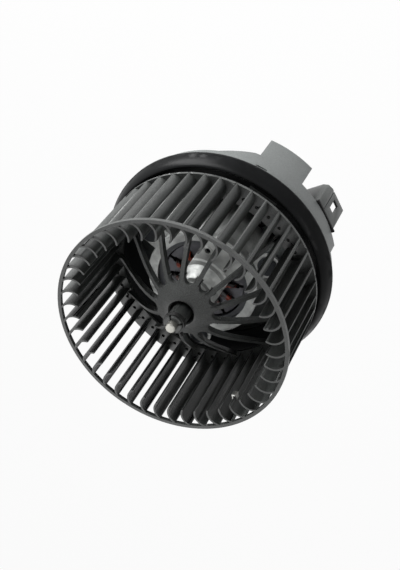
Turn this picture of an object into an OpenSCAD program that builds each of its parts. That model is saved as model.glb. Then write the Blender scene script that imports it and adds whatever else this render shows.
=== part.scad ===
// Car cabin blower motor: a squirrel-cage impeller on an open-frame brushed motor,
// which hangs in a moulded rear cover behind a round mounting flange.
// +Z is the motor axis and points at the air intake; z = 0 is the rear plane of the flange rim.

/* [Impeller] */
// Outer diameter of the intake ring
impeller_d = 150; // [144:1:152]
// Height from the rear ring to the intake face
impeller_h = 65.7; // [62:0.1:72]
// Gap between the flange crest and the rear ring
rear_gap = 7.1; // [5:0.1:9]
// Radial thickness of the intake ring
ring_t = 2.2; // [1.8:0.1:3]
// Height of the intake ring
ring_h = 2.5; // [2:0.1:4]
// How far the intake ring stands proud of the blades
ring_proud = 1.8; // [1.4:0.1:2]
// Number of blades
blade_count = 44; // [36:1:48]
// Thickness of a blade
blade_t = 1.2; // [1:0.1:1.6]
// Radius of a blade's curve
blade_curve_r = 8.25; // [7.5:0.05:12]
// Chord of a blade, from tip to inner edge
blade_chord = 12.7; // [10:0.1:14]
// Lean of a blade's chord from the radius
blade_lean = 15; // [5:1:25]
// Width of the rear ring
rear_ring_w = 13.2; // [11:0.1:14]
// Thickness of the rear ring
rear_ring_t = 2; // [1.6:0.1:3]
// Diameter of the small holes in the rear ring, one between each two blades
rear_hole_d = 2.4; // [1.5:0.1:3]
// Distance of these holes from the rear ring's inner edge
rear_hole_in = 5.5; // [4:0.1:7]

/* [Hub] */
// Number of spider arms
arm_count = 13; // [9:1:15]
// Width of a spider arm
arm_w = 2.6; // [2:0.1:3.4]
// Depth of a spider arm
arm_depth = 4.5; // [3:0.1:5.5]
// Outer diameter of the hub cone
hub_d = 46; // [42:1:50]
// Outer diameter of the round rim in the hub
hub_rim_d = 21.6; // [19:0.2:24]
// Height of the hub from its underside to the rim
hub_h = 15; // [12:0.5:18]
// Fall of the hub cone for each millimetre of radius
hub_slope = 0.65; // [0.5:0.05:0.8]
// Thickness of the hub cone
hub_t = 3; // [2.4:0.1:4]
// Width of the ring-shaped well around the boss
well_w = 2; // [1.6:0.1:3]
// Depth of the well
well_depth = 10; // [6:0.5:11]
// Diameter of the boss that grips the shaft
boss_d = 12; // [11:0.2:13]
// How far the boss stands out of the hub rim
boss_reach = 13.7; // [10:0.1:16]
// Height of the spring clip on the boss
clip_h = 3; // [2:0.1:4]
// Thickness of the spring clip
clip_t = 0.9; // [0.6:0.1:1.2]

/* [Motor] */
// Height of the yoke's front edge above the flange's rear plane
motor_front = 29.5; // [28:0.5:31]
// Outer diameter of the yoke
motor_d = 74.6; // [70:0.2:78]
// Length of the yoke
motor_len = 45; // [43:0.5:48]
// Wall of the yoke
yoke_t = 2.3; // [1.8:0.1:3]
// Diameter of the shaft
shaft_d = 6.5; // [6:0.1:7]
// How far the shaft stands out of the boss
shaft_reach = 4.3; // [3:0.1:6]
// Thickness of a magnet
magnet_t = 7.4; // [6:0.1:8.5]
// Length of a magnet
magnet_len = 28; // [26:0.5:29]
// Angle that one magnet spans
magnet_angle = 130; // [110:5:140]
// Air gap between magnets and armature
air_gap = 0.9; // [0.6:0.1:1.4]
// Length of the armature's steel stack
stack_len = 24; // [20:0.5:25]
// Number of armature slots
slot_count = 12; // [8:1:14]
// Width of an armature slot's mouth
slot_mouth = 2.2; // [1.6:0.1:3]
// Height of the winding heads beyond the stack
head_h = 4.2; // [3:0.1:4.4]
// Diameter of the commutator
commutator_d = 18; // [16:0.5:20]
// Length of the commutator
commutator_len = 8; // [7.5:0.1:8.5]
// Width of the front bracket's strap
strap_w = 27.2; // [24:0.2:30]
// Sheet thickness of both brackets
sheet_t = 1.8; // [1.4:0.1:2]
// Height of the front bracket's stepped nose
nose_h = 18.5; // [17.5:0.5:20]
// Outer diameter of a bearing bush
bush_d = 13.9; // [13:0.1:14.5]
// Length of a bearing bush
bush_len = 6.8; // [5:0.1:7]

/* [Brush gear] */
// Thickness of the brush card
card_t = 2; // [1.6:0.1:2.4]
// Width of a brush across the commutator
brush_w = 6; // [5:0.1:7]
// Height of a brush along the shaft
brush_h = 5; // [4:0.1:5.4]
// Length of a brush
brush_len = 11; // [9:0.5:12]
// Wall of a brush holder
holder_t = 0.6; // [0.4:0.1:0.8]
// Wire of a brush spring
spring_wire = 0.6; // [0.5:0.05:0.7]

/* [Flange and cover] */
// Diameter of the flange rim
rim_d = 156.5; // [154:0.5:160]
// Height of the flange rim's cylinder
rim_h = 2; // [1.6:0.1:3]
// Height of the flange's crest
crest_h = 11.2; // [10:0.1:13]
// Width of the sloping band between crest and rim
band_w = 5; // [4:0.1:6]
// Thickness of the flange's floor
floor_t = 2.5; // [2:0.1:3]
// Step from the flange rim in to the cover's wall
cover_step = 3.25; // [2.5:0.05:4]
// Wall of the rear cover
wall = 2.2; // [1.8:0.1:2.6]
// Depth of the rear cover
cover_depth = 13; // [12:0.5:15]
// Depth of the cover's raised sector
raised_depth = 21; // [20:0.5:24]
// Radial gap between the yoke and the cover's pot
pot_gap = 3.5; // [3:0.1:5]
// Depth of the pot behind the cover's back wall
pot_depth = 20; // [18:0.5:24]
// Diameter of a motor post and its rubber isolator
post_d = 12.6; // [11:0.2:13]
// Depth of the cooling air snout behind the flange
snout_depth = 46; // [36:0.5:50]
// Angle that the snout spans
snout_angle = 25; // [20:0.5:28]
// Radial thickness of the snout
snout_w = 20; // [16:0.5:22]
// Number of screws between cover and flange
screw_count = 4; // [3:1:4]
// Diameter of a cover screw
screw_d = 3.8; // [3:0.1:4.2]

/* [Connector] */
// Direction of the connector about the axis
plug_angle = 57; // [55:0.5:59]
// Width of the connector shroud
plug_w = 23; // [20:0.5:24]
// Radial thickness of the connector shroud
plug_t = 17; // [15:0.5:18]
// Length of the connector shroud
plug_len = 26; // [20:0.5:30]
// Wall of the connector shroud
plug_wall = 1.8; // [1.4:0.1:2.2]
// Thickness of the connector's seal
seal_t = 1.4; // [1:0.1:2]
// Width of a terminal blade
blade_terminal_w = 6.3; // [4.8:0.1:6.3]
// Thickness of a terminal blade
blade_terminal_t = 0.8; // [0.6:0.1:1]
// Diameter of an insulated lead
lead_d = 2.6; // [2:0.1:3]
// Direction in which the leads leave the motor
lead_angle = 77; // [74:1:80]

/* [Hidden] */
$fn = 96;

// Overlap that keeps fused forms from only touching, and overshoot of a cut past a face
bite = 0.4;
past = 1;
// Clearances: seated pieces, running fits, and pieces that must stay apart
seat = 0.05;
running = 0.04;
apart = 0.3;

// Impeller heights and radii
rear_z = crest_h + rear_gap;
face_z = rear_z + impeller_h;
ring_r = impeller_d / 2;
ring_inner_r = ring_r - ring_t;
tip_r = ring_r - ring_proud;
rear_inner_r = tip_r - rear_ring_w;
blade_phase = 6.1;
blade_setback = 0.15;
balance_blade = 41;
balance_depth = 12.5;
balance_turn = -48;

// Motor heights and radii
yoke_r = motor_d / 2;
yoke_inner_r = yoke_r - yoke_t;
motor_rear = motor_front - motor_len;
plate_z = motor_front + sheet_t;
nose_top = motor_front + nose_h;
magnet_r = yoke_inner_r - seat;
magnet_inner_r = magnet_r - magnet_t;
lip_w = 4;
lip_t = 2.3;
magnet_top = motor_front - lip_t - 0.2;
stack_r = magnet_inner_r - air_gap;
stack_mid = magnet_top - magnet_len / 2;
stack_top = stack_mid + stack_len / 2;
stack_bottom = stack_mid - stack_len / 2;
shaft_r = shaft_d / 2;
bush_r = bush_d / 2;
nose_r = bush_r + seat + 1.5;
rear_nose_h = 11.5;
card_z = motor_rear + sheet_t;
card_top = card_z + card_t;
commutator_z = stack_bottom - head_h - 0.8 - commutator_len;
commutator_r = commutator_d / 2;
brush_z = commutator_z + commutator_len / 2;

// Hub heights
hub_base = nose_top + 2;
hub_top = hub_base + hub_h;
boss_r = boss_d / 2;
boss_top = hub_top + boss_reach;
shaft_top = boss_top + shaft_reach;
hub_r = hub_d / 2;
hub_rim_r = hub_rim_d / 2;

hub_slot_in = 1.4;
hub_slot_web = 0.6;
boss_slit_w = 1;
boss_slit_h = 7;

// Spider arms: phase, ends, and the slope at each end as a share of the mean slope
arm_phase = 96;
arm_r0 = hub_r - 5;
arm_r1 = rear_inner_r + 4;
arm_z0 = hub_top - hub_slope * (arm_r0 - hub_rim_r) - 0.2;
arm_z1 = rear_z + rear_ring_t - 0.3;
arm_slope0 = 0.45;
arm_slope1 = 1.05;
arm_steps = 8;

// Bearings and brush gear
front_bush_z = nose_top - sheet_t - bush_len;
rear_bush_z = motor_rear - rear_nose_h + sheet_t;
brush_in = commutator_r + 0.06;
holder_in = commutator_r + 2.2;
holder_out = yoke_inner_r - 1.6;
holder_z = brush_z - brush_h / 2 - seat - holder_t;
choke_r = 24;

// Flange and cover
rim_r = rim_d / 2;
crest_r = rim_r - band_w;
cover_r = rim_r - cover_step;
cover_inner_r = cover_r - wall;
floor_z = 3;
pot_inner_r = yoke_r + pot_gap;
pot_r = pot_inner_r + wall;
post_r = post_d / 2;
post_pitch = yoke_r + seat + sheet_t + apart + post_r;
post_angles = [53, 173, 293];
ear_z = motor_front - 8;
isolator_base = ear_z - 5.4;
isolator_top = ear_z + 5;
isolator_cap = 2.5;
neck_r = 4.6;
pin_r = 3.4;
raised_from = 41;
raised_to = 103;
snout_mid = 90;
raised_r = cover_r - 0.3;
snout_r = cover_r - 0.6;
cover_edge = 3;
snout_edge = 3;
ramp_run = 17.2;
ramp_slope = atan((raised_depth - cover_depth) / ramp_run);
ramp_reach = 22;
slit_z = -7;
slit_h = 1.6;
slit_from = 95.3;
slit_to = 100.4;
ledge_t = 0.9;
ledge_h = 7;
ledge_from = 101;
ledge_to = 112;
screw_wall = 6;
screw_pitch = cover_inner_r - screw_wall;
screw_start = 35;

// Connector
plug_x = cover_r - 0.5 - plug_t;
plug_top = -raised_depth - seal_t;
plug_end = plug_top - plug_len;
spigot_in = 3;
spigot_t = plug_t - 2 * spigot_in;
spigot_w = plug_w - 2 * spigot_in;
terminal_pitch = 9;
terminal_top = -raised_depth + wall + 5;
lead_pitch = lead_d + 1.6;
notch_w = lead_pitch + lead_d + 1.2;

// A ring or tube
module ring(outer, inner, z0, z1) {
    translate([0, 0, z0])
        difference() {
            cylinder(r = outer, h = z1 - z0);
            translate([0, 0, -past])
                cylinder(r = inner, h = z1 - z0 + 2 * past);
        }
}

// A slice of a ring, from angle a0 to a1
module ring_slice(outer, inner, z0, z1, a0, a1) {
    rotate([0, 0, a0])
        rotate_extrude(angle = a1 - a0)
            translate([inner, z0])
                square([outer - inner, z1 - z0]);
}

// One blade's section: a hook-shaped arc that hangs from its outer tip
module blade_section() {
    sag_centre = sqrt(pow(blade_curve_r, 2) - pow(blade_chord / 2, 2));
    translate([tip_r, 0])
        rotate(180 + blade_lean) {
            intersection() {
                translate([blade_chord / 2, -sag_centre])
                    difference() {
                        circle(r = blade_curve_r + blade_t / 2);
                        circle(r = blade_curve_r - blade_t / 2);
                    }
                square([blade_chord, blade_curve_r]);
            }
        }
}

// Radius and height of a spider arm's outer face, from the hub cone (t = 0) to the rear ring (t = 1):
// it leaves the cone at a shallow slope, dips and flattens out again
function arm_radius(t) = arm_r0 + (arm_r1 - arm_r0) * t;
function arm_fall(t) = arm_slope0 * t * (1 - t) * (1 - t)
    + (3 - 2 * t) * t * t - arm_slope1 * t * t * (1 - t);
function arm_z(t) = arm_z0 - (arm_z0 - arm_z1) * arm_fall(t);

// One spider arm, a slim rib that runs out and back from the hub
module arm() {
    outer = [for (i = [0 : arm_steps]) [arm_radius(i / arm_steps), arm_z(i / arm_steps)]];
    inner = [for (i = [arm_steps : -1 : 0])
        [arm_radius(i / arm_steps), max(arm_z(i / arm_steps) - arm_depth, rear_z + bite)]];
    rotate([90, 0, 0])
        linear_extrude(height = arm_w, center = true)
            polygon(concat(outer, inner));
}

// The hub: a cone with a ring-shaped well round the boss, which grips the shaft
module hub() {
    slot_r = (2 * PI * (hub_r - hub_slot_in) / arm_count - arm_w) / 2 - hub_slot_web;
    edge_z = hub_top - hub_slope * (hub_r - hub_rim_r);
    well_r = boss_r + well_w;
    difference() {
        rotate_extrude()
            polygon([[shaft_r + seat, hub_base], [hub_rim_r, hub_base],
                [hub_rim_r, hub_top - hub_t - 1], [hub_r, edge_z - hub_t], [hub_r, edge_z],
                [hub_rim_r, hub_top], [well_r + 0.8, hub_top], [well_r, hub_top - 0.8],
                [well_r, hub_top - well_depth], [boss_r, hub_top - well_depth],
                [boss_r, boss_top - 0.6], [boss_r - 0.6, boss_top], [shaft_r + seat, boss_top]]);
        for (i = [0 : arm_count - 1])
            rotate([0, 0, arm_phase + (i + 0.5) * 360 / arm_count])
                translate([hub_r - hub_slot_in, 0, edge_z - hub_t - 3])
                    cylinder(r = slot_r, h = 3 * hub_t + 6);
        for (a = [0 : 90 : 270])
            rotate([0, 0, a + 45])
                translate([shaft_r - past, -boss_slit_w / 2, boss_top - boss_slit_h])
                    cube([boss_r, boss_slit_w, boss_slit_h + past]);
    }
}

// The impeller is one moulding: intake ring, blades, rear ring, spider and hub
module impeller() {
    color([0.16, 0.17, 0.17]) {
        ring(ring_r, ring_inner_r, face_z - ring_h, face_z);
        difference() {
            ring(tip_r, rear_inner_r, rear_z, rear_z + rear_ring_t);
            for (i = [0 : blade_count - 1])
                rotate([0, 0, blade_phase + (i + 0.15) * 360 / blade_count])
                    translate([rear_inner_r + rear_hole_in, 0, rear_z - past])
                        cylinder(d = rear_hole_d, h = rear_ring_t + 2 * past, $fn = 24);
        }
        for (i = [0 : blade_count - 1])
            rotate([0, 0, blade_phase + i * 360 / blade_count])
                translate([0, 0, rear_z + bite])
                    linear_extrude(height = impeller_h - bite - blade_setback)
                        blade_section();
        for (i = [0 : arm_count - 1])
            rotate([0, 0, arm_phase + i * 360 / arm_count])
                arm();
        hub();
    }
}

// Spring band that squeezes the slit boss onto the shaft; its ends stand up as two ears
module impeller_clip() {
    z0 = boss_top - clip_h - 1.5;
    color([0.55, 0.55, 0.53]) {
        ring(boss_r + seat + clip_t, boss_r + seat, z0, z0 + clip_h);
        for (a = [-122, -31])
            rotate([0, 0, a])
                translate([boss_r + clip_t - bite, -clip_t / 2, z0])
                    cube([3.4, clip_t, clip_h]);
    }
}

// Small folded steel clip that balances the impeller, pushed on one blade's inner edge
module balance_clip() {
    color([0.6, 0.6, 0.58])
        rotate([0, 0, blade_phase + balance_blade * 360 / blade_count])
            translate([tip_r, 0, face_z - balance_depth])
                rotate([0, 0, 180 + blade_lean])
                    translate([blade_chord, 0, 0])
                        rotate([0, 0, balance_turn])
                            difference() {
                                translate([-2.2, -1.5, 0])
                                    cube([3.6, 3, 4]);
                                translate([-3.2, -0.95, -past])
                                    cube([3.5, 1.9, 4 + 2 * past]);
                            }
}

// Steel shaft, with chamfered ends
module motor_shaft() {
    rear_end = motor_rear - rear_nose_h + 3.5;
    chamfer = 0.6;
    color([0.8, 0.8, 0.78])
        rotate_extrude()
            polygon([[0, rear_end], [shaft_r - chamfer, rear_end], [shaft_r, rear_end + chamfer],
                [shaft_r, shaft_top - chamfer], [shaft_r - chamfer, shaft_top], [0, shaft_top]]);
}

// Laminated steel stack with open slots
module armature_core() {
    slot_floor = stack_r * 0.45;
    slot_w = 2 * PI * slot_floor / slot_count * 0.62;
    color([0.35, 0.35, 0.36])
        difference() {
            ring(stack_r, shaft_r + seat / 2, stack_bottom, stack_top);
            for (i = [0 : slot_count - 1])
                rotate([0, 0, i * 360 / slot_count])
                    translate([0, 0, stack_bottom - past]) {
                        translate([slot_floor, -slot_w / 2, 0])
                            cube([stack_r - slot_floor - 3, slot_w, stack_len + 2 * past]);
                        translate([stack_r - 3 - bite, -slot_mouth / 2, 0])
                            cube([3 + bite + past, slot_mouth, stack_len + 2 * past]);
                    }
        }
}

// Enamelled copper coils: a bar of wire in each slot, and winding heads with a lobe at each slot
module armature_windings() {
    slot_floor = stack_r * 0.45;
    slot_w = 2 * PI * slot_floor / slot_count * 0.62;
    head_in = slot_floor - 3.5;
    head_out = stack_r - 3 - seat;
    color([0.62, 0.2, 0.12]) {
        for (i = [0 : slot_count - 1])
            rotate([0, 0, i * 360 / slot_count])
                translate([slot_floor + seat, -slot_w / 2 + seat, stack_bottom - bite])
                    cube([head_out - slot_floor - seat, slot_w - 2 * seat, stack_len + 2 * bite]);
        for (side = [-1, 1])
            translate([0, 0, side > 0 ? stack_top + seat : stack_bottom - head_h])
                difference() {
                    rotate_extrude()
                        polygon([[head_in, 0], [head_out - 1, 0], [head_out, 1],
                            [head_out, head_h - seat - 1], [head_out - 1.5, head_h - seat],
                            [head_in + 1.5, head_h - seat], [head_in, head_h - seat - 1]]);
                    for (i = [0 : slot_count - 1])
                        rotate([0, 0, (i + 0.5) * 360 / slot_count])
                            translate([head_out + 0.9, 0, -past])
                                cylinder(r = 4.1, h = head_h + 2 * past);
                }
    }
}

// Copper segments on an insulating hub
module commutator() {
    color([0.72, 0.45, 0.2])
        difference() {
            union() {
                ring(commutator_r, shaft_r + seat / 2, commutator_z, commutator_z + commutator_len);
                ring(commutator_r + 1.2, commutator_r - 1.5, commutator_z + commutator_len - 1,
                    commutator_z + commutator_len);
            }
            for (i = [0 : slot_count - 1])
                rotate([0, 0, (i + 0.5) * 360 / slot_count])
                    translate([commutator_r - 0.8, -0.3, commutator_z - past])
                        cube([3, 0.6, commutator_len + 2 * past]);
        }
}

// Nylon washers that take the shaft's end float
module thrust_washer(z0) {
    color([0.85, 0.84, 0.78])
        ring(shaft_r + 2.6, shaft_r + seat / 2, z0, z0 + 0.8);
}

// Front bracket: a strap pressed from sheet, with a stepped nose that holds the front bearing.
// Its ends fold back over the yoke, and its long sides leave the motor open.
module front_bracket() {
    fold_r = yoke_r + seat + sheet_t;
    fold_z = ear_z + sheet_t + apart;
    hole_x = 8.4;
    hole_y = yoke_r - 11.8;
    slot_w = 1.6;
    slot_len = 6;
    foot_r = 19.5;
    cut_w = 4.6;
    cut_y = yoke_r - 7;
    top_z = plate_z + (nose_top - plate_z) * 0.64;
    mid_z = plate_z + (nose_top - plate_z) * 0.25;
    outer = [[fold_r, fold_z], [fold_r, plate_z - 0.8], [fold_r - 0.8, plate_z], [foot_r, plate_z],
        [foot_r - 1, plate_z + 1], [nose_r + 7, plate_z + 1], [nose_r + 5.4, mid_z],
        [nose_r + 4.9, mid_z + 0.6], [nose_r + 3.2, top_z - 0.6], [nose_r + 2.6, top_z],
        [nose_r, top_z], [nose_r, nose_top - 0.8], [nose_r - 0.8, nose_top], [shaft_r + 0.9, nose_top]];
    inner = [[shaft_r + 0.9, nose_top - sheet_t], [bush_r + seat, nose_top - sheet_t],
        [bush_r + seat, top_z - sheet_t], [nose_r + 1.4, top_z - sheet_t],
        [nose_r + 3, mid_z + 0.4 - sheet_t], [nose_r + 5.6, plate_z + 1 - sheet_t],
        [foot_r - 1.8, plate_z + 1 - sheet_t], [foot_r - 0.8, motor_front],
        [yoke_r + seat, motor_front], [yoke_r + seat, fold_z]];
    color([0.72, 0.73, 0.72])
        difference() {
            union() {
                intersection() {
                    rotate_extrude()
                        polygon(concat(outer, inner));
                    translate([-strap_w / 2, -fold_r - past, fold_z - past])
                        cube([strap_w, 2 * fold_r + 2 * past, nose_top - fold_z + 2 * past]);
                }
                for (s = [-1, 1])
                    translate([-hole_x * s, hole_y * s, plate_z - bite])
                        cylinder(r = 3.1, h = 0.6 + bite);
            }
            for (s = [-1, 1]) {
                translate([-hole_x * s, hole_y * s, motor_front - past])
                    cylinder(r = 1.9, h = sheet_t + 2 * past);
                translate([7.4 * s, (hole_y - 3.5) * s, motor_front - past])
                    rotate([0, 0, 5])
                        translate([-slot_w / 2, -slot_len / 2, 0])
                            cube([slot_w, slot_len, sheet_t + 2 * past]);
                rotate([0, 0, s > 0 ? 0 : 180])
                    translate([-strap_w / 2, cut_y, fold_z - past])
                        linear_extrude(height = plate_z - fold_z + 2 * past)
                            polygon([[-past, -past], [cut_w, cut_w], [cut_w, 3 * cut_w], [-past, 3 * cut_w]]);
            }
        }
}

// Rear bracket: a pressed disc inside the yoke's rear end, with a nose for the rear bearing
module rear_bracket() {
    low = motor_rear - rear_nose_h;
    disc_r = yoke_inner_r - seat;
    color([0.7, 0.71, 0.7])
        rotate_extrude()
            polygon([[0, low], [nose_r - 0.8, low], [nose_r, low + 0.8], [nose_r, motor_rear - 1],
                [nose_r + 1, motor_rear], [disc_r, motor_rear], [disc_r, motor_rear + sheet_t],
                [bush_r + seat, motor_rear + sheet_t], [bush_r + seat, low + sheet_t], [0, low + sheet_t]]);
}

// Steel yoke: a tube with its front edge turned in, three ears that hang in the rubber isolators,
// and a notch for the leads
module motor_yoke() {
    ear_r = post_r + 1.8;
    color([0.68, 0.69, 0.68])
        difference() {
            union() {
                ring(yoke_r, yoke_inner_r, motor_rear, motor_front);
                ring(yoke_r - yoke_t / 2, yoke_inner_r - lip_w, motor_front - lip_t, motor_front - 0.15);
                for (a = post_angles)
                    rotate([0, 0, a])
                        difference() {
                            union() {
                                translate([yoke_r - yoke_t / 2, -ear_r, ear_z])
                                    cube([post_pitch - yoke_r + yoke_t / 2, 2 * ear_r, sheet_t]);
                                translate([post_pitch, 0, ear_z])
                                    cylinder(r = ear_r, h = sheet_t);
                            }
                            translate([post_pitch, 0, ear_z - past])
                                cylinder(r = neck_r + seat, h = sheet_t + 2 * past);
                        }
            }
            rotate([0, 0, lead_angle])
                translate([yoke_inner_r - past, -notch_w / 2, card_top])
                    cube([yoke_t + 2 * past, notch_w, lead_d + 2]);
        }
}

// Ferrite arc magnets
module magnet(mid) {
    color([0.36, 0.38, 0.4])
        ring_slice(magnet_r, magnet_inner_r, magnet_top - magnet_len, magnet_top,
            mid - magnet_angle / 2, mid + magnet_angle / 2);
}

// Steel strip that springs the two magnets apart, with its ends turned in at their edges
module magnet_spring(mid) {
    half = 90 - magnet_angle / 2 - 0.6;
    strip = 0.6;
    z0 = magnet_top - magnet_len + 4;
    z1 = magnet_top - 4;
    color([0.6, 0.61, 0.6]) {
        ring_slice(magnet_r, magnet_r - strip, z0, z1, mid - half, mid + half);
        for (s = [-1, 1])
            rotate([0, 0, mid + s * (half - 0.5)])
                translate([magnet_r - 5, -strip / 2, z0 + bite])
                    cube([5 - strip / 2, strip, z1 - z0 - 2 * bite]);
    }
}

// Sintered bronze bush, barrel-shaped outside
module bush(z0) {
    color([0.66, 0.5, 0.3])
        rotate_extrude()
            polygon([[shaft_r + running, z0], [bush_r - 1.2, z0], [bush_r, z0 + 1.6],
                [bush_r, z0 + bush_len - 1.6], [bush_r - 1.2, z0 + bush_len],
                [shaft_r + running, z0 + bush_len]]);
}

// Pressed washer that keeps a bush in its nose
module bush_retainer(z0) {
    color([0.62, 0.62, 0.6])
        difference() {
            ring(bush_r, shaft_r + 1.4, z0, z0 + 0.8);
            for (a = [0 : 60 : 300])
                rotate([0, 0, a])
                    translate([shaft_r, -0.4, z0 - past])
                        cube([2.9, 0.8, 0.8 + 2 * past]);
        }
}

// Plastic card that carries the brush holders and chokes on the rear bracket
module brush_card() {
    card_r = yoke_inner_r - apart;
    color([0.2, 0.17, 0.14])
        ring(card_r, commutator_r + 3, card_z, card_top);
}

// Brass box that guides one brush, closed at its outer end
module brush_holder(turn) {
    in_w = brush_w + 2 * seat;
    in_h = brush_h + 2 * seat;
    color([0.75, 0.62, 0.3])
        rotate([0, 0, turn])
            difference() {
                translate([holder_in, -in_w / 2 - holder_t, card_top])
                    cube([holder_out - holder_in, in_w + 2 * holder_t,
                        brush_z + in_h / 2 + holder_t - card_top]);
                translate([holder_in - past, -in_w / 2, brush_z - in_h / 2])
                    cube([holder_out - holder_in - holder_t + past, in_w, in_h]);
                translate([holder_in + 3, -0.8, brush_z])
                    cube([brush_len - 2, 1.6, brush_h]);
            }
}

// Carbon brush, hollowed to the commutator's curve
module brush(turn) {
    color([0.12, 0.12, 0.12])
        rotate([0, 0, turn])
            difference() {
                translate([commutator_r * 0.9, -brush_w / 2, brush_z - brush_h / 2])
                    cube([commutator_r * 0.1 + brush_len, brush_w, brush_h]);
                translate([0, 0, brush_z - brush_h])
                    cylinder(r = brush_in, h = 2 * brush_h);
            }
}

// Unit vector at an angle
function heading(a) = [cos(a), sin(a)];

// Coil spring that presses a brush inwards
module brush_spring(turn) {
    turns = 6;
    coil_r = brush_h / 2 - spring_wire / 2 - 0.2;
    start = commutator_r + brush_len + 0.1;
    length = holder_out - holder_t - 0.1 - start;
    span = 360 * turns * spring_wire / (length - spring_wire);
    color([0.7, 0.7, 0.68])
        rotate([0, 0, turn])
            translate([start + spring_wire / 2, 0, brush_z])
                rotate([0, 90, 0])
                    linear_extrude(height = length - spring_wire, twist = -360 * turns,
                            slices = 12 * turns, $fn = 8)
                        polygon(concat(
                            [for (k = [-2 : 2]) (coil_r + spring_wire / 2) * heading(span * k / 4)],
                            [for (k = [2 : -1 : -2]) (coil_r - spring_wire / 2) * heading(span * k / 4)]));
}

// Suppression choke: copper wire wound on a ferrite rod, which lies on the brush card
module choke(turn) {
    rod_r = 1.6;
    coil_r = 2.6;
    rod_len = 15;
    color([0.7, 0.36, 0.18])
        rotate([0, 0, turn])
            translate([choke_r, 0, card_top + coil_r + seat])
                rotate([90, 0, 0])
                    union() {
                        cylinder(r = rod_r, h = rod_len, center = true);
                        cylinder(r = coil_r, h = rod_len - 4, center = true);
                    }
}

// Rubber isolator: a capped sleeve on a post, with a groove for the yoke's ear
module isolator(i) {
    color([0.4, 0.43, 0.45])
        rotate([0, 0, post_angles[i]])
            translate([post_pitch, 0, 0])
                rotate_extrude()
                    polygon([[0, isolator_top], [post_r - 1, isolator_top], [post_r, isolator_top - 1],
                        [post_r, ear_z + sheet_t + seat], [neck_r, ear_z + sheet_t + seat],
                        [neck_r, ear_z - seat], [post_r, ear_z - seat], [post_r, isolator_base + seat],
                        [pin_r + seat, isolator_base + seat], [pin_r + seat, isolator_top - isolator_cap],
                        [0, isolator_top - isolator_cap]]);
}

// Black mounting flange: a floor with a motor opening, a crest, a sloping band and the rim
module mounting_flange() {
    opening_r = post_pitch + post_r + 1.2;
    spigot_r = cover_inner_r - seat;
    neck = spigot_r - 1.8;
    color([0.1, 0.1, 0.1])
        difference() {
            union() {
                rotate_extrude()
                    polygon([[opening_r, floor_z], [opening_r, floor_z + floor_t],
                        [neck, floor_z + floor_t], [crest_r - 1.1, crest_h - 1], [crest_r, crest_h],
                        [crest_r + 0.24 * band_w, crest_h - 0.7], [crest_r + 0.5 * band_w, crest_h - 3],
                        [crest_r + 0.71 * band_w, crest_h - 5.6], [crest_r + 0.87 * band_w, rim_h + 1.1],
                        [rim_r, rim_h], [rim_r, 0], [spigot_r, 0], [spigot_r, -2.5], [neck, -2.5],
                        [neck, floor_z]]);
                for (i = [0 : screw_count - 1])
                    rotate([0, 0, screw_start + i * 360 / screw_count])
                        translate([screw_pitch, 0, -cover_depth + wall + seat])
                            cylinder(d = screw_d + 3.4, h = floor_z + cover_depth - wall - seat + bite);
            }
            rotate_extrude()
                polygon([[spigot_r + 2.2, -past], [rim_r - 2.2, -past], [rim_r - 2.4, 1.4],
                    [crest_r + 0.2 * band_w, crest_h - 3.6], [spigot_r + 2.2, floor_z]]);
            for (i = [0 : screw_count - 1])
                rotate([0, 0, screw_start + i * 360 / screw_count])
                    translate([screw_pitch, 0, -cover_depth])
                        cylinder(d = screw_d + 2 * seat, h = cover_depth + 2);
            translate([-10, opening_r + 4, floor_z - past])
                cube([20, 9, floor_t + 2 * past]);
        }
}

// Outer form of the rear cover, shrunk by inset to give its hollow as well
module cover_form(inset) {
    top = inset > 0 ? past : 0;
    r0 = cover_r - inset;
    back = inset - cover_depth;
    rotate_extrude()
        polygon([[0, back], [r0 - cover_edge, back], [r0, back + cover_edge], [r0, top], [0, top]]);
    raised_form(inset, top);
    snout_form(inset, top);
    translate([0, 0, inset - cover_depth - pot_depth])
        cylinder(r = pot_r - inset, h = pot_depth + cover_depth - inset + top);
}

// The raised sector, which runs out in a ramp beside the snout
module raised_form(inset, top) {
    r0 = raised_r - inset;
    back = inset - raised_depth;
    side = inset / cover_r * 180 / PI;
    intersection() {
        rotate([0, 0, raised_from + side])
            rotate_extrude(angle = raised_to + ramp_reach - raised_from - 2 * side)
                polygon([[pot_r - inset - 1, back], [r0 - 1.2, back], [r0, back + 1.2],
                    [r0, top], [pot_r - inset - 1, top]]);
        translate([cover_r * cos(raised_to) + inset, 0, back])
            rotate([0, ramp_slope, 0])
                translate([-2 * cover_r, 0, 0])
                    cube([4 * cover_r, 2 * cover_r, 2 * cover_r]);
    }
}

// The cooling snout, a curved box that reaches down past the cover
module snout_form(inset, top) {
    side = inset / cover_r * 180 / PI;
    inner = snout_r - snout_w + inset;
    outer = snout_r - inset;
    end = inset - snout_depth;
    rotate([0, 0, snout_mid - snout_angle / 2 + side])
        rotate_extrude(angle = snout_angle - 2 * side)
            polygon([[inner, top], [inner, end + snout_edge], [inner + snout_edge, end],
                [outer - snout_edge, end], [outer, end + snout_edge], [outer, top]]);
}

// Solid post with a pin that carries one isolator, standing on a floor of the given depth
module post(depth) {
    translate([0, 0, bite - depth])
        cylinder(r = post_r, h = isolator_base + depth - bite);
    cylinder(r = pin_r, h = isolator_top - isolator_cap - apart);
}

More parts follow.
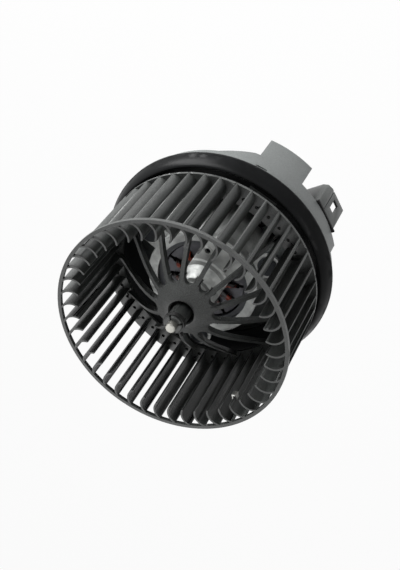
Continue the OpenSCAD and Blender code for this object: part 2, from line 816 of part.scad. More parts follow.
// Grey rear cover: shallow drum, raised sector, cooling snout, motor pot, ribs and posts
module rear_cover() {
    rib_count = 8;
    rib_start = 140;
    rib_step = 31;
    rib_h = 6;
    color([0.38, 0.4, 0.41])
        difference() {
            union() {
                difference() {
                    union() {
                        cover_form(0);
                        for (i = [0 : rib_count - 1])
                            rotate([0, 0, rib_start + i * rib_step])
                                translate([pot_r - bite, -0.9, -cover_depth - rib_h])
                                    cube([cover_r - pot_r - 5, 1.8, rib_h + bite]);
                    }
                    cover_form(wall);
                }
                for (a = post_angles)
                    rotate([0, 0, a])
                        translate([post_pitch, 0, 0])
                            post(a > raised_from && a < raised_to ? raised_depth : cover_depth);
                ring_slice(cover_r + ledge_t, cover_r - bite, -ledge_h, 0, ledge_from, ledge_to);
            }
            for (i = [0 : screw_count - 1])
                rotate([0, 0, screw_start + i * 360 / screw_count])
                    translate([screw_pitch, 0, -cover_depth - past])
                        cylinder(d = screw_d + 2 * seat, h = wall + 2 * past);
            ring_slice(cover_r + 2, cover_inner_r - past, slit_z, slit_z + slit_h, slit_from, slit_to);
            rotate([0, 0, plug_angle])
                translate([plug_x + spigot_in - apart, -spigot_w / 2 - apart, -raised_depth - past])
                    cube([spigot_t + 2 * apart, spigot_w + 2 * apart, wall + 2 * past]);
        }
}

// Pan-head screws that hold the cover to the flange's bosses
module cover_screws() {
    head_r = screw_d * 0.95;
    color([0.7, 0.7, 0.72])
        for (i = [0 : screw_count - 1])
            rotate([0, 0, screw_start + i * 360 / screw_count])
                translate([screw_pitch, 0, -cover_depth])
                    difference() {
                        rotate_extrude()
                            polygon([[0, -2.4], [head_r - 0.8, -2.4], [head_r, -1.6], [head_r, 0],
                                [screw_d / 2, 0], [screw_d / 2, cover_depth], [0, cover_depth]]);
                        for (turn = [0, 90])
                            rotate([0, 0, turn])
                                translate([-2, -0.4, -2.4 - past])
                                    cube([4, 0.8, 1.2 + past]);
                    }
}

// Connector shroud, open to the rear, with a latch window in its outer wall
module connector_housing() {
    cavity = plug_len - 6;
    x1 = plug_x + plug_t;
    y1 = plug_w / 2;
    corner = 5;
    key = 1.2;
    window_w = 5.2;
    window_h = 11;
    groove = 0.6;
    color([0.36, 0.38, 0.38])
        rotate([0, 0, plug_angle])
            difference() {
                union() {
                    translate([0, 0, plug_end])
                        linear_extrude(height = plug_len)
                            polygon([[plug_x, -y1], [x1 - key, -y1], [x1, -y1 + key], [x1, y1 - corner],
                                [x1 - 0.3 * corner, y1 - 0.3 * corner], [x1 - corner, y1], [plug_x, y1]]);
                    translate([plug_x + spigot_in, -spigot_w / 2, plug_top - bite])
                        cube([spigot_t, spigot_w, seal_t + wall + 2 + bite]);
                }
                translate([0, 0, plug_end - past])
                    linear_extrude(height = cavity + past)
                        polygon([[plug_x + plug_wall, -y1 + plug_wall], [x1 - plug_wall, -y1 + plug_wall],
                            [x1 - plug_wall, y1 - plug_wall - corner * 0.6],
                            [x1 - plug_wall - corner * 0.6, y1 - plug_wall],
                            [plug_x + plug_wall, y1 - plug_wall]]);
                translate([x1 - plug_wall - past, -4.6, plug_end + 5])
                    cube([plug_wall + 2 * past, window_w, window_h]);
                translate([x1 - groove, y1 - corner - 2.5, plug_end - past])
                    cube([groove + past, groove, plug_len + 2 * past]);
                for (s = [-1, 1])
                    translate([plug_x + plug_t / 2 - blade_terminal_w / 2 - seat,
                        s * terminal_pitch / 2 - blade_terminal_t / 2 - seat, plug_end])
                        cube([blade_terminal_w + 2 * seat, blade_terminal_t + 2 * seat, plug_len + 20]);
            }
}

// Flat rubber seal between the connector and the cover
module connector_seal() {
    grow = 0.6;
    color([0.05, 0.05, 0.05])
        rotate([0, 0, plug_angle])
            difference() {
                translate([plug_x - grow, -plug_w / 2 - grow, -raised_depth - seal_t + seat])
                    cube([plug_t + 2 * grow, plug_w + 2 * grow, seal_t - 2 * seat]);
                translate([plug_x + spigot_in - seat, -spigot_w / 2 - seat, plug_top - past])
                    cube([spigot_t + 2 * seat, spigot_w + 2 * seat, seal_t + 2 * past]);
            }
}

// Two tin-plated blades, pressed through the connector
module terminals() {
    color([0.8, 0.76, 0.6])
        rotate([0, 0, plug_angle])
            for (s = [-1, 1])
                translate([plug_x + plug_t / 2 - blade_terminal_w / 2,
                    s * terminal_pitch / 2 - blade_terminal_t / 2, plug_end + 5])
                    cube([blade_terminal_w, blade_terminal_t, terminal_top - plug_end - 5]);
}

// Unit vector along a given one, and the direction of a route at one of its points
function unit(v) = v / norm(v);
function tangent(route, i) = unit(route[min(i + 1, len(route) - 1)] - route[max(i - 1, 0)]);

// A route with each corner replaced by a smooth bend that starts and ends at a given reach from it
function bend(a, b, c, reach) = let (from = b + reach * unit(a - b), to = b + reach * unit(c - b))
    [for (t = [0 : 0.2 : 1]) (1 - t) * (1 - t) * from + 2 * t * (1 - t) * b + t * t * to];
function smooth_route(p, reach) = concat([p[0]],
    [for (i = [1 : len(p) - 2]) each bend(p[i - 1], p[i], p[i + 1], reach)], [p[len(p) - 1]]);

// Sideways directions along a route, carried from point to point without a twist
function carried(route, i = 0, before = [0, 0, 1]) = i == len(route) ? []
    : let (along = tangent(route, i), side = unit(before - (before * along) * along))
        concat([side], carried(route, i + 1, side));

// A round cord swept along a route
module swept_cord(route, r, sides = 8) {
    side = carried(route);
    points = [for (i = [0 : len(route) - 1]) for (k = [0 : sides - 1])
        let (other = cross(tangent(route, i), side[i]), a = 360 * k / sides)
            route[i] + r * (cos(a) * side[i] + sin(a) * other)];
    last = (len(route) - 1) * sides;
    faces = concat([[for (k = [0 : sides - 1]) k]],
        [for (i = [0 : sides : last - sides]) for (k = [0 : sides - 1])
            let (next = (k + 1) % sides)
                [i + k, i + sides + k, i + sides + next, i + next]],
        [[for (k = [sides - 1 : -1 : 0]) last + k]]);
    polyhedron(points, faces);
}

// An insulated lead from the brush card, through the yoke's notch, to one terminal
module lead(s, tint) {
    lead_r = lead_d / 2;
    run_z = card_top + lead_r + seat;
    out_y = s * lead_pitch / 2;
    terminal = concat((plug_x + plug_t / 2) * heading(plug_angle)
        + s * terminal_pitch / 2 * heading(plug_angle + 90), 0);
    corners = [concat((yoke_inner_r - 6) * heading(lead_angle) + out_y * heading(lead_angle + 90), run_z),
        concat((pot_r + 3) * heading(lead_angle) + out_y * heading(lead_angle + 90), run_z),
        terminal + [0, 0, run_z], terminal + [0, 0, terminal_top + 0.1]];
    color(tint)
        swept_cord(smooth_route(corners, lead_d), lead_r);
}

impeller();
impeller_clip();
balance_clip();
motor_shaft();
armature_core();
armature_windings();
commutator();
thrust_washer(front_bush_z - 2.2);  // thrust_washer_front
thrust_washer(rear_bush_z + bush_len + 1.2);  // thrust_washer_rear
front_bracket();
rear_bracket();
motor_yoke();
magnet(180);  // magnet_left
magnet(0);  // magnet_right
magnet_spring(90);  // magnet_spring_upper
magnet_spring(270);  // magnet_spring_lower
bush(front_bush_z);  // front_bearing
bush(rear_bush_z);  // rear_bearing
bush_retainer(front_bush_z - 0.8 - seat);  // front_bearing_retainer
bush_retainer(rear_bush_z + bush_len + seat);  // rear_bearing_retainer
brush_card();
brush_holder(180);  // brush_holder_left
brush_holder(0);  // brush_holder_right
brush(180);  // brush_left
brush(0);  // brush_right
brush_spring(180);  // brush_spring_left
brush_spring(0);  // brush_spring_right
choke(130);  // choke_left
choke(310);  // choke_right
isolator(0);  // isolator_1
isolator(1);  // isolator_2
isolator(2);  // isolator_3
mounting_flange();
rear_cover();
cover_screws();
connector_housing();
connector_seal();
terminals();
lead(1, [0.7, 0.08, 0.06]);  // lead_positive
lead(-1, [0.08, 0.08, 0.08]);  // lead_negative
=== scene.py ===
import bpy
import math
from mathutils import Matrix, Vector


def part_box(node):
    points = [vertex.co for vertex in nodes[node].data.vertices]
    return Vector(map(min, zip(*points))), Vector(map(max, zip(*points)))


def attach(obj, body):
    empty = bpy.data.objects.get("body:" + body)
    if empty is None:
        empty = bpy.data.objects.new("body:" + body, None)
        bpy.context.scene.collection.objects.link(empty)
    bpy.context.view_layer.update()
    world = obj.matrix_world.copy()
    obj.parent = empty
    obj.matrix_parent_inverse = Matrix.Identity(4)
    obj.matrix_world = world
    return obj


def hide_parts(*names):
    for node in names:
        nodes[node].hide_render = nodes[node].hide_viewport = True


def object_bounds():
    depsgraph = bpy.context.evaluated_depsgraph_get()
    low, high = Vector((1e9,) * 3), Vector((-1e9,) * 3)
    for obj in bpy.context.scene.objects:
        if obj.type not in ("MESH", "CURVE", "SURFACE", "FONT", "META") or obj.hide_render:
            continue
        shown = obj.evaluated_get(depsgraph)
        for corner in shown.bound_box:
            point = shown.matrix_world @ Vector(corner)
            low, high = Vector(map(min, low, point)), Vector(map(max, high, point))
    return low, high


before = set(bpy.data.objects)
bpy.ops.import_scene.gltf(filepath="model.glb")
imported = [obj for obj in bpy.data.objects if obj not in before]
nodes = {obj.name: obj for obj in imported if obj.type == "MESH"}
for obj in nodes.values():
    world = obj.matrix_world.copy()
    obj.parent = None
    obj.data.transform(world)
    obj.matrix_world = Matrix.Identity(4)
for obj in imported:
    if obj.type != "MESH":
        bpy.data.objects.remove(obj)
cad_low, cad_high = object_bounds()
scene = bpy.context.scene
scene.view_settings.view_transform = "Standard"

# The camera looks down into the intake, past the spider to the motor. It stands on
# the snout's side and is rolled, so that the blower lies with its intake to the lower left.
camera_aim = Vector((-0.0003, 0.0436, 0.0854))
camera_distance = 0.6
camera_elevation = math.radians(50.62)
camera_roll = math.radians(214.96)
camera_back = Vector((0, math.cos(camera_elevation), math.sin(camera_elevation)))
camera_turn = camera_back.to_track_quat("Z", "Y") @ Matrix.Rotation(camera_roll, 3, "Z").to_quaternion()
camera_data = bpy.data.cameras.new("camera")
camera_data.lens = 66.1
camera_data.sensor_width = 36
camera_data.clip_start = 0.01
camera = bpy.data.objects.new("camera", camera_data)
camera.rotation_mode = "QUATERNION"
camera.rotation_quaternion = camera_turn
camera.location = camera_aim + camera_back * camera_distance
scene.collection.objects.link(camera)
scene.camera = camera
camera_right = camera_turn @ Vector((1, 0, 0))
camera_up = camera_turn @ Vector((0, 1, 0))


# Soft studio light. Each box stands by its place in the picture: a strong one up at the
# left, a weak one low at the left that shines on the intake, one at the right, and one
# high up behind the blower.
def soft_box(name, right, up, back, size, watts):
    data = bpy.data.lights.new(name, "AREA")
    data.size = size
    data.energy = watts
    lamp = bpy.data.objects.new(name, data)
    lamp.location = camera_aim + camera_right * right + camera_up * up + camera_back * back
    lamp.rotation_mode = "QUATERNION"
    lamp.rotation_quaternion = (lamp.location - camera_aim).to_track_quat("Z", "Y")
    scene.collection.objects.link(lamp)


soft_box("upper_left_box", right=-0.55, up=0.8, back=0.2, size=0.6, watts=24)
soft_box("intake_box", right=-0.66, up=-0.85, back=-0.08, size=0.6, watts=2.8)
soft_box("right_box", right=0.8, up=-0.1, back=0.7, size=0.5, watts=3)
soft_box("rim_box", right=0.25, up=0.95, back=-0.35, size=0.6, watts=7)


# The room is plain white where the camera, mirrors and glass see it, and gives a
# weaker, even light elsewhere.
def plainly_seen(tree):
    path = tree.nodes.new("ShaderNodeLightPath")
    mirrored = tree.nodes.new("ShaderNodeMath")
    mirrored.operation = "MAXIMUM"
    seen = tree.nodes.new("ShaderNodeMath")
    seen.operation = "MAXIMUM"
    tree.links.new(path.outputs["Is Glossy Ray"], mirrored.inputs[0])
    tree.links.new(path.outputs["Is Transmission Ray"], mirrored.inputs[1])
    tree.links.new(path.outputs["Is Camera Ray"], seen.inputs[0])
    tree.links.new(mirrored.outputs[0], seen.inputs[1])
    return seen.outputs[0]


room = bpy.data.worlds.new("room")
scene.world = room
room.use_nodes = True
room_tree = room.node_tree
room_light = room_tree.nodes["Background"]
room_light.inputs["Color"].default_value = (1, 1, 1, 1)
room_light.inputs["Strength"].default_value = 0.19
room_white = room_tree.nodes.new("ShaderNodeBackground")
room_white.inputs["Color"].default_value = (1, 1, 1, 1)
room_white.inputs["Strength"].default_value = 1
room_mix = room_tree.nodes.new("ShaderNodeMixShader")
room_tree.links.new(plainly_seen(room_tree), room_mix.inputs["Fac"])
room_tree.links.new(room_light.outputs[0], room_mix.inputs[1])
room_tree.links.new(room_white.outputs[0], room_mix.inputs[2])
room_tree.links.new(room_mix.outputs[0], room_tree.nodes["World Output"].inputs["Surface"])

# The floor is a plain pale sheet, well under the blower, which hangs by its flange. It
# shows white with the blower's faint shadow, and lets the view through from below.
floor_drop = 0.62
floor_size = 12
floor_white = 0.94
bpy.ops.object.select_all(action="DESELECT")
bpy.ops.mesh.primitive_plane_add(size=floor_size, location=(0, 0, cad_low.z - floor_drop))
floor = bpy.context.object
floor.name = "floor"
floor_paint = bpy.data.materials.new("floor_paint")
floor_paint.use_nodes = True
paint_tree = floor_paint.node_tree
paint = paint_tree.nodes["Principled BSDF"]
paint.inputs["Base Color"].default_value = (0.8, 0.8, 0.8, 1)
paint.inputs["Roughness"].default_value = 0.9
paint_glow = paint_tree.nodes.new("ShaderNodeEmission")
paint_through = paint_tree.nodes.new("ShaderNodeBsdfTransparent")
paint_side = paint_tree.nodes.new("ShaderNodeNewGeometry")
paint_share = paint_tree.nodes.new("ShaderNodeMath")
paint_share.operation = "MULTIPLY"
paint_share.inputs[1].default_value = floor_white
paint_seen = paint_tree.nodes.new("ShaderNodeMixShader")
paint_under = paint_tree.nodes.new("ShaderNodeMixShader")
paint_tree.links.new(plainly_seen(paint_tree), paint_share.inputs[0])
paint_tree.links.new(paint_share.outputs[0], paint_seen.inputs["Fac"])
paint_tree.links.new(paint.outputs[0], paint_seen.inputs[1])
paint_tree.links.new(paint_glow.outputs[0], paint_seen.inputs[2])
paint_tree.links.new(paint_side.outputs["Backfacing"], paint_under.inputs["Fac"])
paint_tree.links.new(paint_seen.outputs[0], paint_under.inputs[1])
paint_tree.links.new(paint_through.outputs[0], paint_under.inputs[2])
paint_tree.links.new(paint_under.outputs[0], paint_tree.nodes["Material Output"].inputs["Surface"])
floor.data.materials.append(floor_paint)

# The rear cover is moulded in dark grey filled plastic. Its grain is eroded into the
# mould: fine specks over broad, faint flow marks, which also change the gloss.
grain_group = bpy.data.node_groups.new("moulded_grain", "ShaderNodeTree")
for socket_name in ("Grain Scale", "Flow Scale", "Dark", "Light", "Speck", "Smoothest", "Roughest"):
    grain_group.interface.new_socket(socket_name, in_out="INPUT", socket_type="NodeSocketFloat")
grain_group.interface.new_socket("Colour", in_out="INPUT", socket_type="NodeSocketColor")
grain_group.interface.new_socket("Colour", in_out="OUTPUT", socket_type="NodeSocketColor")
grain_group.interface.new_socket("Roughness", in_out="OUTPUT", socket_type="NodeSocketFloat")
grain_group.interface.new_socket("Height", in_out="OUTPUT", socket_type="NodeSocketFloat")
grain_in = grain_group.nodes.new("NodeGroupInput")
grain_out = grain_group.nodes.new("NodeGroupOutput")
grain_place = grain_group.nodes.new("ShaderNodeTexCoord")
grain_noise = grain_group.nodes.new("ShaderNodeTexNoise")
grain_noise.inputs["Detail"].default_value = 3
flow_noise = grain_group.nodes.new("ShaderNodeTexNoise")
flow_noise.inputs["Detail"].default_value = 5
flow_noise.inputs["Distortion"].default_value = 0.6
flow_tone = grain_group.nodes.new("ShaderNodeMapRange")
speck_from = grain_group.nodes.new("ShaderNodeMath")
speck_from.operation = "SUBTRACT"
speck_from.inputs[0].default_value = 1
speck_to = grain_group.nodes.new("ShaderNodeMath")
speck_to.inputs[0].default_value = 1
speck_tone = grain_group.nodes.new("ShaderNodeMapRange")
speck_tone.inputs["From Min"].default_value = 0.3
speck_tone.inputs["From Max"].default_value = 0.7
both_tones = grain_group.nodes.new("ShaderNodeMath")
both_tones.operation = "MULTIPLY"
grain_shade = grain_group.nodes.new("ShaderNodeVectorMath")
grain_shade.operation = "SCALE"
flow_rough = grain_group.nodes.new("ShaderNodeMapRange")
for source, target in (
        (grain_place.outputs["Object"], grain_noise.inputs["Vector"]),
        (grain_place.outputs["Object"], flow_noise.inputs["Vector"]),
        (grain_in.outputs["Grain Scale"], grain_noise.inputs["Scale"]),
        (grain_in.outputs["Flow Scale"], flow_noise.inputs["Scale"]),
        (flow_noise.outputs["Fac"], flow_tone.inputs["Value"]),
        (grain_in.outputs["Dark"], flow_tone.inputs["To Min"]),
        (grain_in.outputs["Light"], flow_tone.inputs["To Max"]),
        (grain_in.outputs["Speck"], speck_from.inputs[1]),
        (grain_in.outputs["Speck"], speck_to.inputs[1]),
        (grain_noise.outputs["Fac"], speck_tone.inputs["Value"]),
        (speck_from.outputs[0], speck_tone.inputs["To Min"]),
        (speck_to.outputs[0], speck_tone.inputs["To Max"]),
        (flow_tone.outputs[0], both_tones.inputs[0]),
        (speck_tone.outputs[0], both_tones.inputs[1]),
        (grain_in.outputs["Colour"], grain_shade.inputs[0]),
        (both_tones.outputs[0], grain_shade.inputs["Scale"]),
        (flow_noise.outputs["Fac"], flow_rough.inputs["Value"]),
        (grain_in.outputs["Smoothest"], flow_rough.inputs["To Min"]),
        (grain_in.outputs["Roughest"], flow_rough.inputs["To Max"]),
        (grain_shade.outputs["Vector"], grain_out.inputs["Colour"]),
        (flow_rough.outputs[0], grain_out.inputs["Roughness"]),
        (grain_noise.outputs["Fac"], grain_out.inputs["Height"])):
    grain_group.links.new(source, target)


def moulded(name, colour, smoothest, roughest, gloss=0.5, grain=1300, depth=0.00003, flow=60,
            speck=0.15, dark=0.8, light=1.25):
    made = bpy.data.materials.new(name)
    made.use_nodes = True
    tree = made.node_tree
    shader = tree.nodes["Principled BSDF"]
    shader.inputs["Specular IOR Level"].default_value = gloss
    surface = tree.nodes.new("ShaderNodeGroup")
    surface.node_tree = grain_group
    surface.inputs["Colour"].default_value = (*colour, 1)
    for socket_name, value in (("Smoothest", smoothest), ("Roughest", roughest), ("Grain Scale", grain),
                               ("Flow Scale", flow), ("Speck", speck), ("Dark", dark), ("Light", light)):
        surface.inputs[socket_name].default_value = value
    bump = tree.nodes.new("ShaderNodeBump")
    bump.inputs["Strength"].default_value = 0.4
    bump.inputs["Distance"].default_value = depth
    tree.links.new(surface.outputs["Colour"], shader.inputs["Base Color"])
    tree.links.new(surface.outputs["Roughness"], shader.inputs["Roughness"])
    tree.links.new(surface.outputs["Height"], bump.inputs["Height"])
    tree.links.new(bump.outputs["Normal"], shader.inputs["Normal"])
    return made


# A copy of the CAD node is merged, its sharp edges are rounded as the mould or the
# press leaves them, and it then stands for the node. Narrow faces limit the rounding of
# the whole piece: on the impeller, the rear cover and the yoke it stays next to nothing.
def rounded(node, body, material, edge, segments=2, sharpest=35):
    merge_gap = 0.000002
    flat_within = math.radians(0.6)
    bpy.ops.object.select_all(action="DESELECT")
    piece = bpy.data.objects.new(node + "_finish", nodes[node].data.copy())
    scene.collection.objects.link(piece)
    piece.select_set(True)
    bpy.context.view_layer.objects.active = piece
    bpy.ops.object.mode_set(mode="EDIT")
    bpy.ops.mesh.select_all(action="SELECT")
    bpy.ops.mesh.remove_doubles(threshold=merge_gap)
    bpy.ops.mesh.dissolve_limited(angle_limit=flat_within)
    bpy.ops.object.mode_set(mode="OBJECT")
    round_edges = piece.modifiers.new("edges", "BEVEL")
    round_edges.width = edge
    round_edges.segments = segments
    round_edges.limit_method = "ANGLE"
    round_edges.angle_limit = math.radians(sharpest)
    bpy.ops.object.modifier_apply(modifier="edges")
    bpy.ops.object.shade_smooth_by_angle(angle=math.radians(sharpest))
    piece.data.materials.clear()
    piece.data.materials.append(material)
    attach(piece, body)
    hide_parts(node)
    return piece


cover_grey = moulded("cover_grey", (0.104, 0.112, 0.110), smoothest=0.36, roughest=0.5, speck=0.16)
rounded("rear_cover", "housing", cover_grey, edge=0.0006, segments=3)

# The connector shroud is a separate moulding in the same plastic, a shade darker, with
# a flat seal of soft black rubber between it and the cover.
plug_grey = moulded("connector_grey", (0.046, 0.050, 0.048), smoothest=0.34, roughest=0.48, speck=0.25)
rounded("connector_housing", "housing", plug_grey, edge=0.0004)


def finish(node, material):
    nodes[node].data.materials.clear()
    nodes[node].data.materials.append(material)


seal_black = moulded("seal_rubber", (0.008, 0.008, 0.008), smoothest=0.6, roughest=0.75, gloss=0.3, grain=900)
finish("connector_seal", seal_black)

# The mounting flange is moulded in black plastic with a smooth, low sheen. Only its
# crest and rim catch a thin line of light.
flange_black = moulded("flange_black", (0.006, 0.0063, 0.0066), smoothest=0.26, roughest=0.36,
                       gloss=0.05, depth=0.00001, speck=0.1)
rounded("mounting_flange", "housing", flange_black, edge=0.0004)

# Three moulded rubber isolators sit on the cover's posts and carry the motor by its ears,
# so that its hum stays out of the case. They are matt and dark.
rubber = moulded("isolator_rubber", (0.030, 0.034, 0.038), smoothest=0.62, roughest=0.8,
                 gloss=0.35, grain=700, flow=90)
for number in (1, 2, 3):
    rounded("isolator_%d" % number, "housing", rubber, edge=0.0005, segments=3)

# The motor's yoke and brackets are pressed from zinc plated sheet: a soft grey sheen,
# faint drawing streaks along the axis and a few darker spots.
drawn_group = bpy.data.node_groups.new("drawn_metal", "ShaderNodeTree")
drawn_group.interface.new_socket("Colour", in_out="INPUT", socket_type="NodeSocketColor")
for socket_name in ("Streaks", "Spots", "Smoothest", "Roughest"):
    drawn_group.interface.new_socket(socket_name, in_out="INPUT", socket_type="NodeSocketFloat")
drawn_group.interface.new_socket("Colour", in_out="OUTPUT", socket_type="NodeSocketColor")
drawn_group.interface.new_socket("Roughness", in_out="OUTPUT", socket_type="NodeSocketFloat")
drawn_group.interface.new_socket("Height", in_out="OUTPUT", socket_type="NodeSocketFloat")
drawn_in = drawn_group.nodes.new("NodeGroupInput")
drawn_out = drawn_group.nodes.new("NodeGroupOutput")
drawn_place = drawn_group.nodes.new("ShaderNodeTexCoord")
drawn_stretch = drawn_group.nodes.new("ShaderNodeMapping")
drawn_stretch.inputs["Scale"].default_value = (1, 1, 0.08)
streak_noise = drawn_group.nodes.new("ShaderNodeTexNoise")
spot_noise = drawn_group.nodes.new("ShaderNodeTexNoise")
spot_noise.inputs["Detail"].default_value = 6
spot_tone = drawn_group.nodes.new("ShaderNodeMapRange")
spot_tone.inputs["From Min"].default_value = 0.35
spot_tone.inputs["From Max"].default_value = 0.65
spot_tone.inputs["To Min"].default_value = 0.7
spot_tone.inputs["To Max"].default_value = 1.1
drawn_shade = drawn_group.nodes.new("ShaderNodeVectorMath")
drawn_shade.operation = "SCALE"
streak_rough = drawn_group.nodes.new("ShaderNodeMapRange")
for source, target in (
        (drawn_place.outputs["Object"], drawn_stretch.inputs["Vector"]),
        (drawn_stretch.outputs["Vector"], streak_noise.inputs["Vector"]),
        (drawn_place.outputs["Object"], spot_noise.inputs["Vector"]),
        (drawn_in.outputs["Streaks"], streak_noise.inputs["Scale"]),
        (drawn_in.outputs["Spots"], spot_noise.inputs["Scale"]),
        (spot_noise.outputs["Fac"], spot_tone.inputs["Value"]),
        (drawn_in.outputs["Colour"], drawn_shade.inputs[0]),
        (spot_tone.outputs[0], drawn_shade.inputs["Scale"]),
        (streak_noise.outputs["Fac"], streak_rough.inputs["Value"]),
        (drawn_in.outputs["Smoothest"], streak_rough.inputs["To Min"]),
        (drawn_in.outputs["Roughest"], streak_rough.inputs["To Max"]),
        (drawn_shade.outputs["Vector"], drawn_out.inputs["Colour"]),
        (streak_rough.outputs[0], drawn_out.inputs["Roughness"]),
        (streak_noise.outputs["Fac"], drawn_out.inputs["Height"])):
    drawn_group.links.new(source, target)


def metal(name, colour, smoothest, roughest, streaks=400, spots=90, depth=0.00002):
    made = bpy.data.materials.new(name)
    made.use_nodes = True
    tree = made.node_tree
    shader = tree.nodes["Principled BSDF"]
    shader.inputs["Metallic"].default_value = 1
    surface = tree.nodes.new("ShaderNodeGroup")
    surface.node_tree = drawn_group
    surface.inputs["Colour"].default_value = (*colour, 1)
    for socket_name, value in (("Streaks", streaks), ("Spots", spots), ("Smoothest", smoothest),
                               ("Roughest", roughest)):
        surface.inputs[socket_name].default_value = value
    bump = tree.nodes.new("ShaderNodeBump")
    bump.inputs["Strength"].default_value = 0.3
    bump.inputs["Distance"].default_value = depth
    tree.links.new(surface.outputs["Colour"], shader.inputs["Base Color"])
    tree.links.new(surface.outputs["Roughness"], shader.inputs["Roughness"])
    tree.links.new(surface.outputs["Height"], bump.inputs["Height"])
    tree.links.new(bump.outputs["Normal"], shader.inputs["Normal"])
    return made


zinc = metal("zinc_plate", (0.44, 0.45, 0.44), smoothest=0.5, roughest=0.68, spots=140, depth=0.00004)
for node in ("front_bracket", "motor_yoke", "rear_bracket"):
    rounded(node, "housing", zinc, edge=0.0003)
for node in ("front_bearing_retainer", "rear_bearing_retainer", "cover_screws"):
    finish(node, zinc)

# Two sintered ferrite arcs stand in the yoke, ground on their inner faces. Steel strips
# spring them apart.
ferrite = moulded("ferrite", (0.055, 0.060, 0.068), smoothest=0.4, roughest=0.6, grain=1200, flow=120)
spring_steel = metal("spring_steel", (0.45, 0.45, 0.43), smoothest=0.28, roughest=0.42)
for side in ("left", "right"):
    finish("magnet_" + side, ferrite)
for side in ("upper", "lower"):
    finish("magnet_spring_" + side, spring_steel)

# The shaft is ground steel and turns in oil-filled bronze bushes against nylon washers.
# The armature's laminated stack is given a dark steel colour.
shaft_steel = metal("shaft_steel", (0.34, 0.335, 0.31), smoothest=0.36, roughest=0.5)
finish("motor_shaft", shaft_steel)
bronze = metal("sintered_bronze", (0.42, 0.28, 0.13), smoothest=0.45, roughest=0.6)
nylon = moulded("nylon", (0.60, 0.58, 0.50), smoothest=0.4, roughest=0.5)
for end in ("front", "rear"):
    finish(end + "_bearing", bronze)
    finish("thrust_washer_" + end, nylon)
core_steel = metal("core_steel", (0.085, 0.085, 0.092), smoothest=0.42, roughest=0.6)
finish("armature_core", core_steel)

# The armature's coils are loops of enamelled copper wire, wound through two slots each
# and crossing over the ends of the stack in a low heap. Their colour is mostly painted
# shade, near black, with random patches of the wire's red enamel.
core_low, core_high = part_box("armature_core")
wound_low, wound_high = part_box("armature_windings")
coil_count = 12
coil_span = math.radians(150)
coil_bundle = 0.0015
coil_corner = 0.0024
coil_clearance = 0.0001
coil_lean = math.radians(9)
coil_layers = 3
layer_step = 0.0004
core_r = (core_high.x - core_low.x) / 2
near_leg_r = core_r * 0.77
far_leg_r = core_r * 0.62
near_leg = Vector((near_leg_r, 0, 0))
far_leg = Matrix.Rotation(coil_span, 3, "Z") @ Vector((far_leg_r, 0, 0))
coil_half = (far_leg - near_leg).length / 2
coil_top = (wound_high.z - wound_low.z) / 2 - coil_bundle - coil_clearance
coil_turn = (far_leg - near_leg).to_track_quat("X", "Z").to_matrix().to_4x4()
coil_middle = (near_leg + far_leg) / 2 + Vector((0, 0, (wound_low.z + wound_high.z) / 2))

# One loop starts as a small ring of the corners' radius. It leans a little, and its two
# halves are moved apart along and across the stack.
bpy.ops.object.select_all(action="DESELECT")
bpy.ops.mesh.primitive_torus_add(major_radius=coil_corner, minor_radius=coil_bundle, major_segments=20,
                                 minor_segments=12, rotation=(math.radians(90), 0, 0))
coil = bpy.context.object
bpy.ops.object.transform_apply(location=True, rotation=True, scale=True)
bpy.ops.object.mode_set(mode="EDIT")
bpy.ops.mesh.select_all(action="SELECT")
bpy.ops.transform.rotate(value=coil_lean, orient_axis="Y", center_override=(0, 0, 0))
for axis, reach in ((0, coil_half), (2, coil_top)):
    for side in (-1, 1):
        bpy.ops.mesh.select_all(action="DESELECT")
        bpy.ops.object.mode_set(mode="OBJECT")
        for vertex in coil.data.vertices:
            vertex.select = vertex.co[axis] * side > 0
        bpy.ops.object.mode_set(mode="EDIT")
        stretch = [0, 0, 0]
        stretch[axis] = side * (reach - coil_corner)
        bpy.ops.transform.translate(value=stretch)
bpy.ops.object.mode_set(mode="OBJECT")

# The loop is copied round the stack, each copy in one of the heap's layers. The copies
# are joined into the first loop's object, which is emptied for them.
coil_shape = coil.data
for number in range(coil_count):
    coil_copy = bpy.data.objects.new("coil_%d" % number, coil_shape.copy())
    scene.collection.objects.link(coil_copy)
    around = Matrix.Rotation(math.radians(360 / coil_count) * number, 4, "Z")
    layer = Matrix.Diagonal((1, 1, 1 - (number % coil_layers) * layer_step / coil_top, 1))
    coil_copy.data.transform(around @ Matrix.Translation(coil_middle) @ coil_turn @ layer)
    coil_copy.select_set(True)
coil.data = coil_shape.copy()
coil.data.clear_geometry()
bpy.context.view_layer.objects.active = coil
coil.select_set(True)
bpy.ops.object.join()
coil.name = "armature_coils"
bpy.ops.object.shade_smooth_by_angle(angle=math.radians(50))
enamel = bpy.data.materials.new("wire_enamel_painted_shade")
enamel.use_nodes = True
enamel_tree = enamel.node_tree
enamel_shader = enamel_tree.nodes["Principled BSDF"]
enamel_place = enamel_tree.nodes.new("ShaderNodeTexCoord")
enamel_shade_patches = enamel_tree.nodes.new("ShaderNodeTexNoise")
enamel_shade_patches.inputs["Scale"].default_value = 130
# Painted shade: the ramp colours most of the coils near black for the shade deep in the motor, and the
# noise's patches the wire's red enamel.
enamel_and_shade_colours = enamel_tree.nodes.new("ShaderNodeValToRGB")
enamel_and_shade_colours.color_ramp.elements[0].position = 0.5
enamel_and_shade_colours.color_ramp.elements[0].color = (0.014, 0.011, 0.011, 1)
enamel_and_shade_colours.color_ramp.elements[1].position = 0.62
enamel_and_shade_colours.color_ramp.elements[1].color = (0.42, 0.06, 0.022, 1)
enamel_wires = enamel_tree.nodes.new("ShaderNodeTexWave")
enamel_wires.bands_direction = "Y"
enamel_wires.inputs["Scale"].default_value = 2.5
enamel_wires.inputs["Distortion"].default_value = 0.4
enamel_bump = enamel_tree.nodes.new("ShaderNodeBump")
enamel_bump.inputs["Strength"].default_value = 0.8
enamel_bump.inputs["Distance"].default_value = 0.0002
enamel_gloss = enamel_tree.nodes.new("ShaderNodeMapRange")
enamel_gloss.inputs["To Min"].default_value = 0.28
enamel_gloss.inputs["To Max"].default_value = 0.5
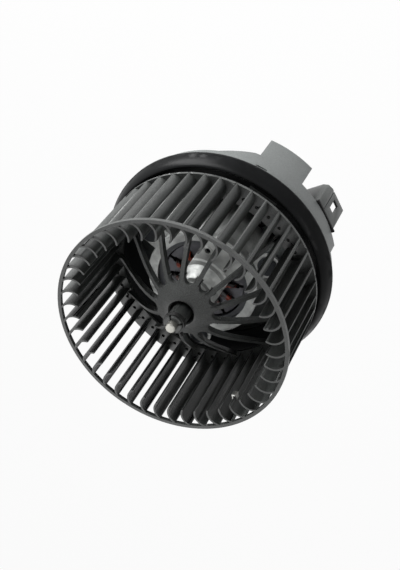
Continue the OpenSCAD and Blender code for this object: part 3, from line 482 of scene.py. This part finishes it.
for source, target in (
        (enamel_place.outputs["Object"], enamel_shade_patches.inputs["Vector"]),
        (enamel_shade_patches.outputs["Fac"], enamel_and_shade_colours.inputs["Fac"]),
        (enamel_place.outputs["UV"], enamel_wires.inputs["Vector"]),
        (enamel_wires.outputs["Fac"], enamel_bump.inputs["Height"]),
        (enamel_shade_patches.outputs["Fac"], enamel_gloss.inputs["Value"]),
        (enamel_gloss.outputs[0], enamel_shader.inputs["Roughness"]),
        (enamel_and_shade_colours.outputs["Color"], enamel_shader.inputs["Base Color"]),
        (enamel_bump.outputs["Normal"], enamel_shader.inputs["Normal"])):
    enamel_tree.links.new(source, target)
coil.data.materials.clear()
coil.data.materials.append(enamel)
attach(coil, "rotor")
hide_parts("armature_windings")

# The brush gear sits on a laminate card: brass boxes with carbon brushes and coil
# springs, two wound chokes, and the copper commutator between them.
commutator_copper = metal("commutator_copper", (0.66, 0.34, 0.17), smoothest=0.2, roughest=0.35)
finish("commutator", commutator_copper)
card_laminate = moulded("card_laminate", (0.05, 0.035, 0.022), smoothest=0.5, roughest=0.65, grain=900)
finish("brush_card", card_laminate)
brass = metal("holder_brass", (0.66, 0.50, 0.20), smoothest=0.25, roughest=0.4)
carbon = moulded("carbon", (0.012, 0.012, 0.012), smoothest=0.5, roughest=0.7, gloss=0.4, flow=100)
choke_copper = metal("choke_wire", (0.50, 0.17, 0.08), smoothest=0.25, roughest=0.45, streaks=900)
for side in ("left", "right"):
    finish("brush_holder_" + side, brass)
    finish("brush_" + side, carbon)
    finish("brush_spring_" + side, spring_steel)
    finish("choke_" + side, choke_copper)

# Two insulated leads, red and black, run from the card to the plug's two blades, which
# are tin plated. Their insulation is extruded, so it is smooth.
for lead, insulation, colour in (
        ("lead_positive", "red_insulation", (0.36, 0.02, 0.015)),
        ("lead_negative", "black_insulation", (0.012, 0.012, 0.012))):
    finish(lead, moulded(insulation, colour, smoothest=0.35, roughest=0.45, grain=900, depth=0.00001))
tin_plate = metal("tin_plate", (0.62, 0.60, 0.52), smoothest=0.25, roughest=0.4)
finish("terminals", tin_plate)

# The impeller is one moulding in black filled plastic, satin, with a visible grain on
# its blades. The spring band on its boss is dark, oiled steel; the balance clip is bright.
impeller_black = moulded("impeller_black", (0.036, 0.0385, 0.037), smoothest=0.36, roughest=0.5,
                         grain=1300, flow=70, depth=0.00007, speck=0.5)
rounded("impeller", "rotor", impeller_black, edge=0.0003)
oiled_steel = metal("oiled_steel", (0.05, 0.05, 0.05), smoothest=0.4, roughest=0.55)
finish("impeller_clip", oiled_steel)
finish("balance_clip", spring_steel)
